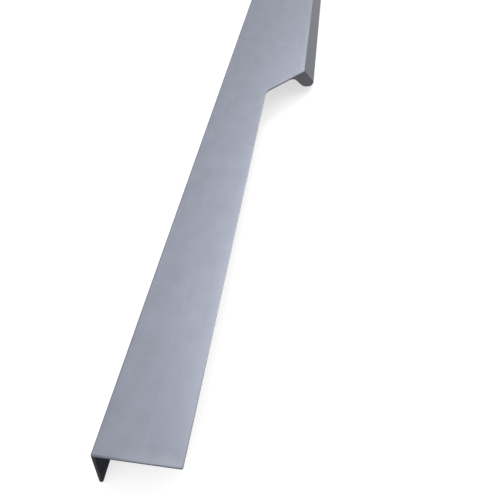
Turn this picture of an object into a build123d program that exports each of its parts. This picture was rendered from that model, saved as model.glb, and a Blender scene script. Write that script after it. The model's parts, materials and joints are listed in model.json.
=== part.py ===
from build123d import *
from math import cos, radians, sin, tan
import os

# Edge pull handle: one aluminium extrusion, cut to length, notched at both ends and drilled.
# X runs from the back flange to the front lip, Y along the handle, Z up.
# The origin is the middle of the handle's bounding box at the level of the flange's foot.

# Stock length and the two end notches
handle_length = 600.0
arm_width = 20.0
arm_length = 169.0
notch_run = 22.5
notch_radius = 6.0
arm_corner_radius = 0.5
edge_break = 0.3

# Plate and back flange
wall = 1.0
flange_height = 13.0
grip_width = 35.2
back_edge_radius = 0.5
back_inside_radius = 0.4
front_edge_radius = 0.4
foot_flat = 0.1

# Grip lip: a solid bar that leans forward under the plate's front edge
lip_drop = 10.0
lip_lean = 30.0
lip_root_thickness = 5.0
lip_inner_lean = 33.0
lip_underside_slope = 30.0
lip_nose_radius = 1.2
lip_knee_radius = 8.0
lip_root_radius = 4.0

# Screw holes through the back flange, countersunk from the back
screw_count = 3
screw_end_distance = 28.0
screw_depth_below_top = 7.5
screw_hole_radius = 2.0
screw_land = 0.4

# How far a cutter runs out past the metal that it removes
cutter_run_out = 5.0


def line_meeting(point_a, direction_a, point_b, direction_b):
    """Where two lines of the section cross, each given by a point and a direction."""
    across = Vector(-direction_b.Y, direction_b.X)
    steps = (point_b - point_a).dot(across) / direction_a.dot(across)
    return point_a + direction_a * steps


# Section points: X is measured from the flange's back face, and Y from the plate's top face, negative below it.
# The nose circle touches the lip's leaning front face and its lowest level.
front_face = Vector(sin(radians(lip_lean)), -cos(radians(lip_lean)))
inner_face = Vector(sin(radians(lip_inner_lean)), -cos(radians(lip_inner_lean)))
lip_underside = Vector(cos(radians(lip_underside_slope)), -sin(radians(lip_underside_slope)))

nose_y = lip_nose_radius - lip_drop
nose_x = grip_width - nose_y * tan(radians(lip_lean)) - lip_nose_radius / cos(radians(lip_lean))
nose_centre = Vector(nose_x, nose_y)
nose_front = nose_centre + Vector(-front_face.Y, front_face.X) * lip_nose_radius
nose_back = nose_centre + Vector(lip_underside.Y, -lip_underside.X) * lip_nose_radius
nose_tip = nose_centre + ((nose_front - nose_centre) + (nose_back - nose_centre)).normalized() * lip_nose_radius

lip_root_front = grip_width + wall * tan(radians(lip_lean))
lip_root = Vector(lip_root_front - lip_root_thickness, -wall)
lip_knee = line_meeting(lip_root, inner_face, nose_back, lip_underside)

foot_radius = (wall - foot_flat) / 2
overall_depth = nose_x + lip_nose_radius
half_length = handle_length / 2
screw_pitch = (handle_length - 2 * screw_end_distance) / (screw_count - 1)


def profile_section():
    """The extruded section: flange, plate and lip in one closed outline."""
    outline = [
        (nose_back, None),
        (lip_knee, lip_knee_radius),
        (lip_root, lip_root_radius),
        (Vector(wall, -wall), back_inside_radius),
        (Vector(wall, -flange_height), foot_radius),
        (Vector(0, -flange_height), foot_radius),
        (Vector(0, 0), back_edge_radius),
        (Vector(grip_width, 0), front_edge_radius),
        (nose_front, None),
    ]
    points = [point for point, radius in outline]
    radii = [radius for point, radius in outline if radius]
    with BuildSketch(Plane.XZ) as section:
        with BuildLine():
            FilletPolyline(*points, radius=radii)
            ThreePointArc(nose_front, nose_tip, nose_back)
        make_face()
    return section.sketch


def notch_cutter():
    """Plan of the metal cut away in front of the arm at the handle's +Y end, through its full height."""
    slope = notch_run / (grip_width - arm_width)
    inner_y = half_length - arm_length
    front_x = overall_depth + cutter_run_out
    front_y = inner_y - slope * (front_x - arm_width)
    end_y = half_length + cutter_run_out
    with BuildPart() as cutter:
        with BuildSketch():
            with BuildLine():
                FilletPolyline(
                    (arm_width, end_y),
                    (arm_width, inner_y),
                    (front_x, front_y),
                    radius=notch_radius,
                )
                Polyline((front_x, front_y), (front_x, end_y), (arm_width, end_y))
            make_face()
        extrude(amount=flange_height + cutter_run_out, both=True)
    return cutter.part


def screw_holes():
    """Countersunk screw clearance holes, as the solids that are taken out of the flange."""
    sink_depth = wall - screw_land
    back_face = Plane(origin=(0, 0, -screw_depth_below_top), x_dir=(0, -1, 0), z_dir=(-1, 0, 0))
    drill = Cylinder(screw_hole_radius, 2 * wall)
    sink = Pos(0, 0, -sink_depth / 2) * Cone(screw_hole_radius, screw_hole_radius + sink_depth, sink_depth)
    one_hole = drill + sink
    holes = [back_face * place * one_hole for place in GridLocations(screw_pitch, 0, screw_count, 1)]
    return holes


def cut_edges(bar):
    """The top edges left by the saw and the cutter, from front to back, in which order their fillet holds best.

    The foremost and the hindmost edge are left out, because the extrusion has rounded those.
    """
    plate_top = bar.faces().filter_by(Axis.Z).sort_by(Axis.Z)[-1]
    return plate_top.edges().sort_by(Axis.X, reverse=True)[1:-1]


def edge_pull():
    """The whole handle, with the flange's back at X 0 and the plate's top at Z 0."""
    bar = extrude(profile_section(), amount=half_length, both=True)
    cutter = notch_cutter()
    notched = bar - cutter - mirror(cutter, about=Plane.XZ)
    arm_corners = notched.edges().filter_by(Axis.Z).filter_by(
        lambda edge: abs(edge.center().X - arm_width) < wall and abs(edge.center().Y) > half_length - wall
    )
    rounded = fillet(arm_corners, arm_corner_radius)
    deburred = fillet(cut_edges(rounded), edge_break)
    return deburred - screw_holes()


os.makedirs("parts", exist_ok=True)
handle = Pos(-overall_depth / 2, 0, flange_height) * edge_pull()
handle.label = "edge_pull"
export_step(handle, "parts/edge_pull.step")
print("overall depth", round(overall_depth, 2), "height", flange_height, "length", handle_length)
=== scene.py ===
import json
from math import ceil, cos, pi, radians, sin, tan

import bmesh
import bpy
from mathutils import Matrix, Quaternion, Vector


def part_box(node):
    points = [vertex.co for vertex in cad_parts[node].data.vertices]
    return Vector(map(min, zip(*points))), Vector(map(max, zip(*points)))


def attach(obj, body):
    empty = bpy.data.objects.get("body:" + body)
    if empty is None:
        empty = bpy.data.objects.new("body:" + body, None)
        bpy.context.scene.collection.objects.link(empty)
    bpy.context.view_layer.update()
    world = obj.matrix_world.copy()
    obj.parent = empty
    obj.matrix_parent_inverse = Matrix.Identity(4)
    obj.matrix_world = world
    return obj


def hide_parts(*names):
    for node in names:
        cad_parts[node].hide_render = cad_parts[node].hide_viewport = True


# Edge pull handle: the finished bar, its satin and cut surfaces, and a small studio around it.
# Lengths are in metres. X runs from the back flange to the front lip, Y along the handle, Z up.
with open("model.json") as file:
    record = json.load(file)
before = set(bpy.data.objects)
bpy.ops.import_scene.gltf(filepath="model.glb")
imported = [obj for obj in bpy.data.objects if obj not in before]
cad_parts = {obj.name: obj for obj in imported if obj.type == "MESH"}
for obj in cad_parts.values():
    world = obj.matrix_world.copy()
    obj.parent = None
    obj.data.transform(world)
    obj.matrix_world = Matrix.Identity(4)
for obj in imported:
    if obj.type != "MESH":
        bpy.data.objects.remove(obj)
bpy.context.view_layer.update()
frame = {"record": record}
low_corner, high_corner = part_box("edge_pull")
mounts = {mount["name"]: mount for mount in frame["record"]["mounts"]}
mm = 0.001
quarter_turn = pi / 2

# The handle's box, from the frame
back_face = low_corner.x
near_end = low_corner.y
plate_top = high_corner.z
handle_length = high_corner.y - low_corner.y
half_length = handle_length / 2
flange_height = high_corner.z - low_corner.z

# End notches
arm_width = 20 * mm
arm_length = 169 * mm
notch_start = half_length - arm_length
notch_run = 22.5 * mm
notch_radius = 6 * mm
arm_corner_radius = 0.5 * mm
cut_edge_radius = 0.25 * mm
hole_edge_radius = 0.06 * mm

# Section of the extrusion
wall = 1 * mm
grip_width = 35.2 * mm
back_edge_radius = 0.5 * mm
back_inside_radius = 0.4 * mm
front_edge_radius = 0.4 * mm
foot_flat = 0.1 * mm
lip_drop = 10 * mm
lip_lean = radians(30)
lip_root_thickness = 5 * mm
lip_inner_lean = radians(33)
lip_underside_slope = radians(30)
lip_nose_radius = 1.2 * mm
lip_knee_radius = 8 * mm
lip_root_radius = 4 * mm

# Screw holes, where the record's mounts put them
screw_count = mounts["end_screw_holes"]["dims"]["count"] + 1
screw_pitch = mounts["end_screw_holes"]["dims"]["spacing_x_mm"] * mm / (screw_count - 1)
screw_level = mounts["end_screw_holes"]["pos_m"][2]
screw_radius = mounts["end_screw_holes"]["dims"]["hole_r_mm"] * mm
screw_land = mounts["middle_screw_hole"]["dims"]["length_mm"] * mm
sink_depth = wall - screw_land

# How finely the rounds are drawn, and how full the broken edges are
arc_step = radians(7.5)
drill_sides = 72
edge_segments = 4
edge_profile = 0.5

# The least angle of a sharp edge, and the distance up to which two points are one
sharp_angle = radians(40)
merge_distance = 0.001 * mm

# How far one solid runs out past another that it meets
run_out = 5 * mm

# The block that has the handle's plan: its front, from the flange's back, and its height
plan_front = 2 * grip_width
plan_height = 4 * flange_height

# Marks on the faces, which say how each was made
drawn_finish = 0.0
cut_finish = 1.0
drilled_finish = 2.0

# Colours, as linear red, green and blue
brushed_satin = (0.249, 0.264, 0.316, 1)
# Painted shade: the darker tone that every drawn face but the top takes, outside and inside
painted_side_shade = (0.13, 0.136, 0.15, 1)
# Painted highlight: lighter along the plate's front edge and at its ends
painted_edge_highlight = (0.285, 0.3, 0.352, 1)
# Painted highlight: on each arm's cut side, just below the top
painted_cut_highlight = (0.55, 0.57, 0.62, 1)
# Painted shade: on the notch's cut face below the top rim
painted_notch_shade = (0.1, 0.101, 0.112, 1)
# Painted shade: on the sawn end faces, darkest on the flange's end
painted_plate_end_shade = (0.07, 0.071, 0.078, 1)
painted_flange_end_shade = (0.03, 0.03, 0.032, 1)
floor_white = (0.6, 0.6, 0.6, 1)
pure_white = (1, 1, 1, 1)

# Sheen of the outer and the inner side: how metallic each is, and its tint where it is seen at a low angle
outer_metallic = 0.85
outer_sheen = (0.59, 0.6, 0.62, 1)
# The inner side's near-black tint is painted shade: it dims what the inside mirrors
inner_metallic = 1.0
painted_inner_shade_tint = (0.1, 0.1, 0.1, 1)

# Patterns in the metal: features per metre along X, Y and Z, finer layers in them, and how strong those are
brushed_lines = {"scales": (5200, 45, 5200), "detail": 4, "roughness": 0.6}
clouds = {"scales": (230, 120, 230), "detail": 3, "roughness": 0.55}
fine_grain = {"scales": (9000, 9000, 9000), "detail": 2, "roughness": 0.6}
cutter_lines = {"scales": (2600, 2600, 90), "detail": 3, "roughness": 0.6}

# What the patterns add to the tone of the metal
brushed_tone = 0.16
cloud_tone = 0.2
grain_tone = 0.05
cutter_tone = 0.7

# Roughness of the satin, and what the patterns and a rough cut add to it
satin_roughness = 0.36
brushed_roughness = 0.12
cloud_roughness = 0.06
cut_roughness = 0.2

# Relief of the patterns beside each other, and how strong and deep all of it is
brushed_relief = 0.7
grain_relief = 0.3
cutter_relief = 2
relief_strength = 0.35
relief_depth = 0.03 * mm

# Bands in which a finish, a painted highlight or a painted shade sets in beside an edge, from where there is
# none of it to where it is full.
# Distances from the edge count forward, upward and toward the ends, and backward from the front edge.
flange_band = (0.7 * arm_width, 0)
top_band = (-0.15 * mm, -0.01 * mm)
cut_band = (-0.12 * mm, -0.7 * mm)
cut_highlight_band = (0, -0.1 * mm)
front_highlight_band = (3.2 * mm, 0.2 * mm)
end_highlight_band = (-3.5 * mm, -0.5 * mm)
sawn_band = (-0.8 * mm, -0.25 * mm)
milled_band = (4 * mm, 0)
arm_band = (0, -50 * mm)

# How much of the painted highlight shows along the front, and of the painted end-face shade on the rounded
# rim above the flange
front_highlight_share = 0.5
rim_shade_share = 0.45

# Studio: the floor's size and how much it is lifted, the light from all round, and what the lamps face
floor_size = 12
floor_lift = 0.62
world_light = 0.7
lamp_aim = Vector((0, -150 * mm, 0))

# Camera, measured from the handle's near end, back face and top. Its sensor and lens are in millimetres.
camera_right_of_back = 36.424 * mm
camera_before_end = 50.552 * mm
camera_above_plate = 112.22 * mm
camera_azimuth = radians(-5.246)
camera_elevation = radians(43.266)
camera_roll = radians(-2.834)
camera_sensor = 36
camera_lens = 39.553
camera_nearest = 1 * mm


def find_socket(sockets, name):
    """The socket in use that has this name or identifier, or this number."""
    if isinstance(name, int):
        return sockets[name]
    return next(socket for socket in sockets if socket.enabled and name in (socket.name, socket.identifier))


class Signal:
    """One output of a node. Arithmetic on it adds Math nodes to the same tree."""

    def __init__(self, graph, socket):
        self.graph = graph
        self.socket = socket

    def __getitem__(self, name):
        """Another output of the same node."""
        return Signal(self.graph, find_socket(self.socket.node.outputs, name))

    def math(self, operation, *terms):
        return self.graph.add("ShaderNodeMath", {"operation": operation}, dict(enumerate(terms)))

    def __add__(self, other):
        return self.math("ADD", self, other)

    def __radd__(self, other):
        return self.math("ADD", other, self)

    def __sub__(self, other):
        return self.math("SUBTRACT", self, other)

    def __rsub__(self, other):
        return self.math("SUBTRACT", other, self)

    def __mul__(self, other):
        return self.math("MULTIPLY", self, other)

    def __rmul__(self, other):
        return self.math("MULTIPLY", other, self)

    def __truediv__(self, other):
        return self.math("DIVIDE", self, other)

    def __rtruediv__(self, other):
        return self.math("DIVIDE", other, self)

    def __abs__(self):
        return self.math("ABSOLUTE", self)

    def at_most(self, other):
        return self.math("MINIMUM", self, other)

    def at_least(self, other):
        return self.math("MAXIMUM", self, other)

    def above(self, other):
        return self.math("GREATER_THAN", self, other)


class Graph:
    """A node tree being built."""

    def __init__(self, tree):
        self.tree = tree

    def add(self, kind, settings=None, sockets=None, output=0):
        """Adds a node of any type, with its settings first and then its sockets' values or links."""
        node = self.tree.nodes.new(kind)
        for name, value in (settings or {}).items():
            setattr(node, name, value)
        for name, value in (sockets or {}).items():
            socket = find_socket(node.inputs, name)
            if isinstance(value, (Signal, list)):
                for source in value if isinstance(value, list) else [value]:
                    self.tree.links.new(source.socket, socket)
            else:
                socket.default_value = value
        return Signal(self, find_socket(node.outputs, output)) if node.outputs else node

    def mix_colours(self, factor, first, second):
        sockets = {"Factor": factor, "A": first, "B": second}
        return self.add("ShaderNodeMix", {"data_type": "RGBA"}, sockets, "Result")

    def scaled(self, vector, factors):
        """The vector or colour with each of its three parts multiplied."""
        sockets = {0: vector, 1: factors}
        return self.add("ShaderNodeVectorMath", {"operation": "MULTIPLY"}, sockets, "Vector")

    def noise(self, position, scales, detail, roughness):
        """A smooth random pattern about 0, with so many features per metre along each axis."""
        stretched = self.scaled(position, scales)
        sockets = {"Vector": stretched, "Scale": 1.0, "Detail": detail, "Roughness": roughness}
        return self.add("ShaderNodeTexNoise", None, sockets, "Fac") - 0.5

    def fade(self, value, edge, band):
        """0 at the band's first distance from the edge, 1 at its second, and smooth between."""
        start, end = (edge + distance for distance in band)
        settings = {"interpolation_type": "SMOOTHSTEP"}
        sockets = {"Value": value, "From Min": start, "From Max": end}
        return self.add("ShaderNodeMapRange", settings, sockets, "Result")

    def named(self, attribute, data_type="FLOAT"):
        """What the geometry carries under this name."""
        settings = {"data_type": data_type}
        return self.add("GeometryNodeInputNamedAttribute", settings, {"Name": attribute})

    def faces_marked(self, geometry, attribute, value):
        """The geometry with a number on each of its faces."""
        sockets = {"Geometry": geometry, "Name": attribute, "Value": value}
        return self.add("GeometryNodeStoreNamedAttribute", {"domain": "FACE"}, sockets)

    def combined(self, operation, meshes):
        """Closed meshes made one: joined, cut from each other, or what they share."""
        settings = {"operation": operation, "solver": "EXACT"}
        return self.add("GeometryNodeMeshBoolean", settings, meshes)


def cleared_graph(owner):
    """The emptied node tree of a material or a world."""
    owner.use_nodes = True
    owner.node_tree.nodes.clear()
    return Graph(owner.node_tree)


def put_in_scene(name, data):
    """A new object that holds this mesh, lamp or camera."""
    thing = bpy.data.objects.new(name, data)
    bpy.context.scene.collection.objects.link(thing)
    return thing


def evaluated_mesh(thing):
    """The plain mesh that the object's modifiers make."""
    depsgraph = bpy.context.evaluated_depsgraph_get()
    return bpy.data.meshes.new_from_object(thing.evaluated_get(depsgraph))


def geometry_tree(name, inputs):
    """A new Geometry Nodes tree with a geometry input and output, and these named inputs."""
    tree = bpy.data.node_groups.new(name, "GeometryNodeTree")
    tree.interface.new_socket("Geometry", in_out="INPUT", socket_type="NodeSocketGeometry")
    tree.interface.new_socket("Geometry", in_out="OUTPUT", socket_type="NodeSocketGeometry")
    for label, kind in inputs.items():
        tree.interface.new_socket(label, in_out="INPUT", socket_type="NodeSocket" + kind)
    return Graph(tree)


def finish_tree(graph, geometry, material):
    """Ends the tree with its instances made real and in this material."""
    realized = graph.add("GeometryNodeRealizeInstances", None, {"Geometry": geometry})
    dressed = graph.add("GeometryNodeSetMaterial", None, {"Geometry": realized, "Material": material})
    graph.add("NodeGroupOutput", None, {"Geometry": dressed})
    return graph.tree


def run_tree(mesh, tree, values):
    """The plain mesh that the tree makes out of this mesh with these values of its inputs."""
    carrier = put_in_scene("carrier", mesh)
    modifier = carrier.modifiers.new("nodes", "NODES")
    modifier.node_group = tree
    for item in tree.interface.items_tree:
        if item.name in values:
            modifier[item.identifier] = values[item.name]
    made = evaluated_mesh(carrier)
    bpy.data.objects.remove(carrier)
    return made


def meeting(point_a, direction_a, point_b, direction_b):
    """Where two lines of an outline cross, each given by a point and a direction."""
    across = Vector((-direction_b.y, direction_b.x))
    return point_a + direction_a * ((point_b - point_a).dot(across) / direction_a.dot(across))


def section_corners():
    """Corners of the section, each with its radius and a 1 if it lies on the inner side, or else a 0.

    X runs from the flange's back and Y from the plate's top.
    """
    front_face = Vector((sin(lip_lean), -cos(lip_lean)))
    inner_face = Vector((sin(lip_inner_lean), -cos(lip_inner_lean)))
    underside = Vector((cos(lip_underside_slope), -sin(lip_underside_slope)))
    nose_y = lip_nose_radius - lip_drop
    nose = Vector((grip_width - nose_y * tan(lip_lean) - lip_nose_radius / cos(lip_lean), nose_y))
    nose_back = nose + Vector((underside.y, -underside.x)) * lip_nose_radius
    lip_root = Vector((grip_width + wall * tan(lip_lean) - lip_root_thickness, -wall))
    lip_knee = meeting(lip_root, inner_face, nose_back, underside)
    lip_corner = meeting(Vector((grip_width, 0)), front_face, nose_back, underside)
    foot_radius = (wall - foot_flat) / 2
    return [
        (Vector((0, 0)), back_edge_radius, 0),
        (Vector((grip_width, 0)), front_edge_radius, 0),
        (lip_corner, lip_nose_radius, 0),
        (lip_knee, lip_knee_radius, 1),
        (lip_root, lip_root_radius, 1),
        (Vector((wall, -wall)), back_inside_radius, 1),
        (Vector((wall, -flange_height)), foot_radius, 1),
        (Vector((0, -flange_height)), foot_radius, 0),
    ]


def plan_corners():
    """Corners of the plan, each with its radius and a 0, because a cut face has no inner side.

    X runs from the flange's back and Y from the handle's middle.
    """
    notch_front = notch_start - notch_run * (plan_front - arm_width) / (grip_width - arm_width)
    one_end = [
        (Vector((plan_front, notch_front)), 0, 0),
        (Vector((arm_width, notch_start)), notch_radius, 0),
        (Vector((arm_width, half_length)), arm_corner_radius, 0),
        (Vector((-run_out, half_length)), 0, 0),
    ]
    other_end = [(Vector((x, -y)), radius, side) for (x, y), radius, side in reversed(one_end)]
    return one_end + other_end


def outline_mesh(name, corners):
    """A closed loop through the corners, which carry their radius, number of arc steps and side."""
    count = len(corners)
    places = [(*corner, 0) for corner, radius, side in corners]
    loop = [(i, (i + 1) % count) for i in range(count)]
    mesh = bpy.data.meshes.new(name)
    mesh.from_pydata(places, loop, [])
    marks = {"corner_radius": [], "arc_steps": [], "inner_side": []}
    for i, (corner, radius, side) in enumerate(corners):
        before = corner - corners[i - 1][0]
        after = corners[(i + 1) % count][0] - corner
        marks["corner_radius"].append(radius)
        marks["arc_steps"].append(max(1, ceil(before.angle(after) / arc_step)) if radius else 1)
        marks["inner_side"].append(side)
    for label, values in marks.items():
        kind = "INT" if label == "arc_steps" else "FLOAT"
        mesh.attributes.new(label, kind, "POINT").data.foreach_set("value", values)
    return mesh


def prism_tree():
    """Rounds the corners of an outline and draws it out along Z, both ways, into a closed solid."""
    inputs = {"Height": "Float", "Finish": "Float", "Material": "Material"}
    graph = geometry_tree("rounded_prism", inputs)
    given = graph.add("NodeGroupInput")
    outline = graph.add("GeometryNodeMeshToCurve", None, {"Mesh": given["Geometry"]})
    fillet = {
        "Curve": outline,
        "Radius": graph.named("corner_radius"),
        "Count": graph.named("arc_steps", "INT"),
        "Limit Radius": True,
    }
    rounded = graph.add("GeometryNodeFilletCurve", {"mode": "POLY"}, fillet)
    top = graph.add("ShaderNodeCombineXYZ", None, {"Z": given["Height"] / 2})
    bottom = graph.add("ShaderNodeCombineXYZ", None, {"Z": given["Height"] / -2})
    path = graph.add("GeometryNodeCurvePrimitiveLine", None, {"Start": bottom, "End": top})
    drawn = {"Curve": path, "Profile Curve": rounded, "Fill Caps": True}
    solid = graph.add("GeometryNodeCurveToMesh", None, drawn)
    finished = graph.faces_marked(solid, "finish", given["Finish"])
    sided = graph.faces_marked(finished, "inside", graph.named("inner_side"))
    return finish_tree(graph, sided, given["Material"])


def handle_tree():
    """Where the drawn section and its plan meet, less the countersunk screw holes along the flange."""
    inputs = {
        "Plan": "Object",
        "Screw Count": "Int",
        "Screw Pitch": "Float",
        "First Screw": "Vector",
        "Hole Radius": "Float",
        "Sink Depth": "Float",
        "Run Out": "Float",
        "Sides": "Int",
        "Drilled": "Float",
        "Material": "Material",
    }
    graph = geometry_tree("notched_and_drilled", inputs)
    given = graph.add("NodeGroupInput")
    plan = graph.add("GeometryNodeObjectInfo", None, {"Object": given["Plan"]}, "Geometry")
    notched = graph.combined("INTERSECT", {"Mesh 2": [given["Geometry"], plan]})

    # One screw's cutter, along Z, with the outer face of the flange at its Z 0
    length = given["Run Out"] * 2
    round_part = {"Vertices": given["Sides"], "Radius": given["Hole Radius"], "Depth": length}
    drill = graph.add("GeometryNodeMeshCylinder", {"fill_type": "NGON"}, round_part)
    reach = given["Sink Depth"] + given["Run Out"]
    cone = {
        "Vertices": given["Sides"],
        "Radius Top": given["Hole Radius"],
        "Radius Bottom": given["Hole Radius"] + reach,
        "Depth": reach,
    }
    sink = graph.add("GeometryNodeMeshCone", {"fill_type": "NGON"}, cone)
    start = graph.add("ShaderNodeCombineXYZ", None, {"Z": given["Run Out"] * -1})
    seated_sink = graph.add("GeometryNodeTransform", None, {"Geometry": sink, "Translation": start})
    cutter = graph.combined("UNION", {"Mesh 2": [drill, seated_sink]})
    marked_cutter = graph.faces_marked(cutter, "finish", given["Drilled"])

    # The row of screws along the flange, each cutter turned to point along X
    pitch = graph.add("ShaderNodeCombineXYZ", None, {"Y": given["Screw Pitch"]})
    row = {"Count": given["Screw Count"], "Start Location": given["First Screw"], "Offset": pitch}
    places = graph.add("GeometryNodeMeshLine", None, row)
    turned = {"Points": places, "Instance": marked_cutter, "Rotation": (0, quarter_turn, 0)}
    instances = graph.add("GeometryNodeInstanceOnPoints", None, turned)
    cutters = graph.add("GeometryNodeRealizeInstances", None, {"Geometry": instances})
    drilled = graph.combined("DIFFERENCE", {"Mesh 1": notched, "Mesh 2": cutters})
    return finish_tree(graph, drilled, given["Material"])


def prism(name, corners, height, finish, material, placement):
    """A closed solid of that height on the rounded outline, turned and moved to its place."""
    values = {"Height": height, "Finish": finish, "Material": material}
    mesh = run_tree(outline_mesh(name, corners), prism_tree(), values)
    mesh.transform(placement)
    return mesh


def sharp_edges(shape, finish, kind):
    """The sharp edges between two faces, the later worked of which carries this mark."""
    return [
        edge for edge in shape.edges
        if len(edge.link_faces) == 2
        and edge.calc_face_angle() > sharp_angle
        and max(face[finish] for face in edge.link_faces) == kind
    ]


def break_edges(mesh):
    """Rounds every edge that the saw, the cutter or the drill has left. No point ends up above the plate."""
    shape = bmesh.new()
    shape.from_mesh(mesh)
    bmesh.ops.remove_doubles(shape, verts=shape.verts, dist=merge_distance)
    bmesh.ops.dissolve_degenerate(shape, edges=shape.edges, dist=merge_distance)
    finish = shape.faces.layers.float["finish"]
    for kind, radius in ((cut_finish, cut_edge_radius), (drilled_finish, hole_edge_radius)):
        chosen = sharp_edges(shape, finish, kind)
        rounded = bmesh.ops.bevel(
            shape, geom=chosen, affect="EDGES", offset=radius, offset_type="OFFSET",
            segments=edge_segments, profile=edge_profile, clamp_overlap=False,
        )
        for face in rounded["faces"]:
            face[finish] = kind
    for vertex in shape.verts:
        vertex.co.z = min(vertex.co.z, plate_top)
    bmesh.ops.recalc_face_normals(shape, faces=shape.faces)
    shape.to_mesh(mesh)
    shape.free()


def smooth_shaded(name, mesh):
    """The mesh as an object with smooth rounds and flat flats."""
    piece = put_in_scene(name, mesh)
    mesh.polygons.foreach_set("use_smooth", [True] * len(mesh.polygons))
    mesh.set_sharp_from_angle(angle=sharp_angle)
    weighted = piece.modifiers.new("flat_faces_lead", "WEIGHTED_NORMAL")
    weighted.mode = "FACE_AREA"
    weighted.keep_sharp = True
    shaded = evaluated_mesh(piece)
    piece.modifiers.clear()
    piece.data = shaded
    return piece


def behind_front_edge(across, along):
    """How far a point lies behind the plan's front edge, from its X and its distance from the middle."""
    slope = notch_run / (grip_width - arm_width)
    arm_edge = back_face + arm_width
    grip_edge = back_face + grip_width
    front = (arm_edge + (notch_start - along) / slope).at_least(arm_edge).at_most(grip_edge)
    return front - across


def work_and_light_places(graph, place, is_cut):
    """How much each place on the metal shows of each kind of work and of painted highlight and shade, from 0
    to 1.
    """
    along = abs(place["Y"])
    behind_front = behind_front_edge(place["X"], along)
    by_flange = graph.fade(place["X"], back_face, flange_band)
    on_top = graph.fade(place["Z"], plate_top, top_band)
    below_edge = graph.fade(place["Z"], plate_top, cut_band)
    below_top = graph.fade(place["Z"], plate_top, cut_highlight_band)
    near_notch = graph.fade(along, notch_start, milled_band)
    near_saw = graph.fade(along, half_length, sawn_band)
    off_the_ends = (1 - near_notch) * graph.fade(along, half_length, arm_band)
    # Painted highlight along the front edge and at the ends, clear of the flange
    highlight_by_front = graph.fade(behind_front, 0, front_highlight_band) * front_highlight_share
    highlight_by_ends = graph.fade(along, half_length, end_highlight_band) * (1 - by_flange)
    return {
        "by flange": by_flange,
        "on top": on_top,
        "rubbed": highlight_by_front.at_least(highlight_by_ends) * on_top,
        # Painted highlight on each arm's cut side, off the notch and the ends
        "bright": is_cut * below_top * off_the_ends,
        # Painted shade on the notch's cut face below the rim; its tool marks are real
        "milled": is_cut * below_edge * near_notch,
        # Painted shade on the sawn ends, reaching up onto the rim above the flange; their tool marks are
        # real
        "sawn": is_cut * below_edge.at_least(by_flange * rim_shade_share) * near_saw,
    }


def metal_colour(graph, worked, is_cut):
    """The metal's colour at each place, with its painted shade and painted highlights, before its patterns
    darken or lighten it.
    """
    # Painted shade on every drawn face but the top, which keeps the brushed satin
    drawn = graph.mix_colours(worked["on top"].at_least(is_cut), painted_side_shade, brushed_satin)
    # Painted highlight along the front edge and at the ends
    edge_highlighted = graph.mix_colours(worked["rubbed"], drawn, painted_edge_highlight)
    # Painted highlight on the arms' cut sides
    edged = graph.mix_colours(worked["bright"], edge_highlighted, painted_cut_highlight)
    # Painted shade on the notch's cut face
    notched = graph.mix_colours(worked["milled"], edged, painted_notch_shade)
    # Painted shade on the sawn ends, darker on the flange's end than on the plate's
    end_face_shade = graph.mix_colours(worked["by flange"], painted_plate_end_shade, painted_flange_end_shade)
    return graph.mix_colours(worked["sawn"], notched, end_face_shade)


def satin_aluminium():
    """Brushed satin on the plate, tool marks where cut; painted shade on the other drawn faces, the inside
    and the cut faces, and painted highlights along the front edge, the ends and the arms' cut sides.
    """
    material = bpy.data.materials.new("satin_anodised_aluminium")
    graph = cleared_graph(material)
    position = graph.add("ShaderNodeTexCoord", None, None, "Object")
    place = graph.add("ShaderNodeSeparateXYZ", None, {"Vector": position}, "X")
    finish = graph.add("ShaderNodeAttribute", {"attribute_name": "finish"}, None, "Fac")
    inside = graph.add("ShaderNodeAttribute", {"attribute_name": "inside"}, None, "Fac")
    is_cut = finish.above((drawn_finish + cut_finish) / 2)
    worked = work_and_light_places(graph, place, is_cut)
    rough_cut = worked["milled"].at_least(worked["sawn"])

    brushing = graph.noise(position, **brushed_lines)
    cloud = graph.noise(position, **clouds)
    grain = graph.noise(position, **fine_grain)
    cutter_marks = rough_cut * graph.noise(position, **cutter_lines)

    tone = (
        1 + brushing * brushed_tone + cloud * cloud_tone + grain * grain_tone + cutter_marks * cutter_tone
    )
    shade = graph.add("ShaderNodeCombineXYZ", None, {"X": tone, "Y": tone, "Z": tone})
    colour = graph.scaled(metal_colour(graph, worked, is_cut), shade)
    roughness = (
        satin_roughness + brushing * brushed_roughness + cloud * cloud_roughness + rough_cut * cut_roughness
    )
    brushed_top = brushing * worked["on top"]
    relief = brushed_top * brushed_relief + grain * grain_relief + cutter_marks * cutter_relief
    raised = {"Strength": relief_strength, "Distance": relief_depth, "Height": relief}
    bump = graph.add("ShaderNodeBump", None, raised, "Normal")

    skin = {"Base Color": colour, "Roughness": roughness, "Normal": bump}
    outer_skin = {**skin, "Metallic": outer_metallic, "Specular Tint": outer_sheen}
    # The inside takes a copy of the metal whose near-black tint is painted shade
    inner_skin = {**skin, "Metallic": inner_metallic, "Specular Tint": painted_inner_shade_tint}
    outer_metal = graph.add("ShaderNodeBsdfPrincipled", None, outer_skin, "BSDF")
    inner_metal = graph.add("ShaderNodeBsdfPrincipled", None, inner_skin, "BSDF")
    metal = graph.add("ShaderNodeMixShader", None, {0: inside, 1: outer_metal, 2: inner_metal}, "Shader")
    graph.add("ShaderNodeOutputMaterial", None, {"Surface": metal})
    return material


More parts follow.
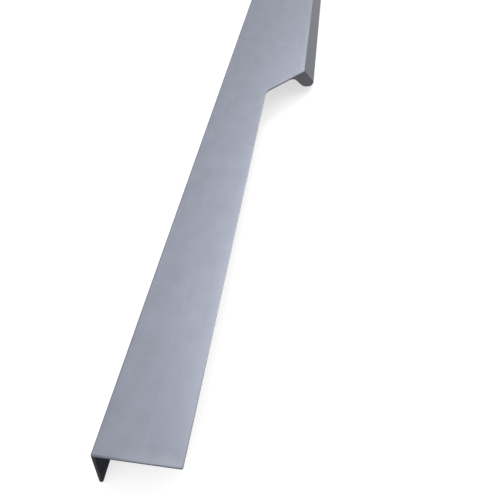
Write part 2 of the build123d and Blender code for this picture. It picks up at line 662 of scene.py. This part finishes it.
def handle_bar():
    """The whole handle: section and plan drawn out and met, drilled, its edges broken, its faces shaded."""
    metal = satin_aluminium()
    upright = Matrix.Translation((back_face, 0, plate_top)) @ Matrix.Rotation(quarter_turn, 4, "X")
    level = Matrix.Translation((back_face, 0, 0))
    drawn_length = handle_length + 2 * run_out
    drawn = prism("section", section_corners(), drawn_length, drawn_finish, metal, upright)
    plan_block = prism("plan", plan_corners(), plan_height, cut_finish, metal, level)
    plan = put_in_scene("plan", plan_block)
    values = {
        "Plan": plan,
        "Screw Count": screw_count,
        "Screw Pitch": screw_pitch,
        "First Screw": (back_face, -screw_pitch * (screw_count - 1) / 2, screw_level),
        "Hole Radius": screw_radius,
        "Sink Depth": sink_depth,
        "Run Out": run_out,
        "Sides": drill_sides,
        "Drilled": drilled_finish,
        "Material": metal,
    }
    bar = run_tree(drawn, handle_tree(), values)
    bpy.data.objects.remove(plan)
    break_edges(bar)
    return smooth_shaded("edge_pull_handle", bar)


def seen_directly(graph):
    """1 for what the camera sees, itself or in a mirror or through glass, and 0 for other light."""
    ray = graph.add("ShaderNodeLightPath", None, None, "Is Camera Ray")
    return ray.at_least(ray["Is Glossy Ray"]).at_least(ray["Is Transmission Ray"])


def floor():
    """A plain floor that keeps the handle's shadow, lifted to white for the eye and for reflections."""
    material = bpy.data.materials.new("white_floor")
    graph = cleared_graph(material)
    paint = graph.add("ShaderNodeBsdfDiffuse", None, {"Color": floor_white}, "BSDF")
    lift = {"Color": pure_white, "Strength": seen_directly(graph) * floor_lift}
    glow = graph.add("ShaderNodeEmission", None, lift, "Emission")
    lifted_paint = graph.add("ShaderNodeAddShader", None, {0: paint, 1: glow}, "Shader")
    graph.add("ShaderNodeOutputMaterial", None, {"Surface": lifted_paint})
    half = floor_size / 2
    corners = [(-half, -half, 0), (half, -half, 0), (half, half, 0), (-half, half, 0)]
    mesh = bpy.data.meshes.new("floor")
    mesh.from_pydata(corners, [], [(0, 1, 2, 3)])
    mesh.materials.append(material)
    ground = put_in_scene("floor", mesh)


def studio_air():
    """Pale light from all round, white where it is looked at or mirrored."""
    world = bpy.data.worlds.new("studio")
    graph = cleared_graph(world)
    strength = world_light + seen_directly(graph) * (1 - world_light)
    light = {"Color": pure_white, "Strength": strength}
    air = graph.add("ShaderNodeBackground", None, light, "Background")
    graph.add("ShaderNodeOutputWorld", None, {"Surface": air})
    bpy.context.scene.world = world


def soft_panel(name, azimuth, elevation, distance, width, height, radiance):
    """A lamp that faces the handle. Azimuth 0 stands on the near end's side and 90 on the lip's side."""
    lamp = bpy.data.lights.new(name, "AREA")
    lamp.shape = "RECTANGLE"
    lamp.size = width
    lamp.size_y = height
    lamp.energy = radiance * pi * width * height
    panel = put_in_scene(name, lamp)
    level = cos(elevation)
    way = Vector((sin(azimuth) * level, -cos(azimuth) * level, sin(elevation)))
    panel.location = lamp_aim + way * distance
    panel.rotation_euler = (-way).to_track_quat("-Z", "Y").to_euler()
    panel.visible_camera = False


def camera():
    """The photo's view: close above the near end, looking along the handle."""
    lens = bpy.data.cameras.new("camera")
    lens.sensor_width = camera_sensor
    lens.lens = camera_lens
    lens.clip_start = camera_nearest
    view = put_in_scene("camera", lens)
    level = cos(camera_elevation)
    aim = Vector((sin(camera_azimuth) * level, cos(camera_azimuth) * level, -sin(camera_elevation)))
    view.location = (
        back_face + camera_right_of_back,
        near_end - camera_before_end,
        plate_top + camera_above_plate,
    )
    view.rotation_mode = "QUATERNION"
    view.rotation_quaternion = aim.to_track_quat("-Z", "Y") @ Quaternion((0, 0, 1), -camera_roll)
    bpy.context.scene.camera = view


handle = handle_bar()
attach(handle, "root")
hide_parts("edge_pull")

floor()
studio_air()
soft_panel(
    "front",
    azimuth=radians(0), elevation=radians(55), distance=1.6,
    width=1.4, height=1.4, radiance=0.8,
)
soft_panel(
    "strip_behind",
    azimuth=radians(170.5), elevation=radians(48.5), distance=1.3,
    width=0.42, height=1.06, radiance=3.45,
)
camera()
bpy.context.scene.view_settings.view_transform = "Standard"
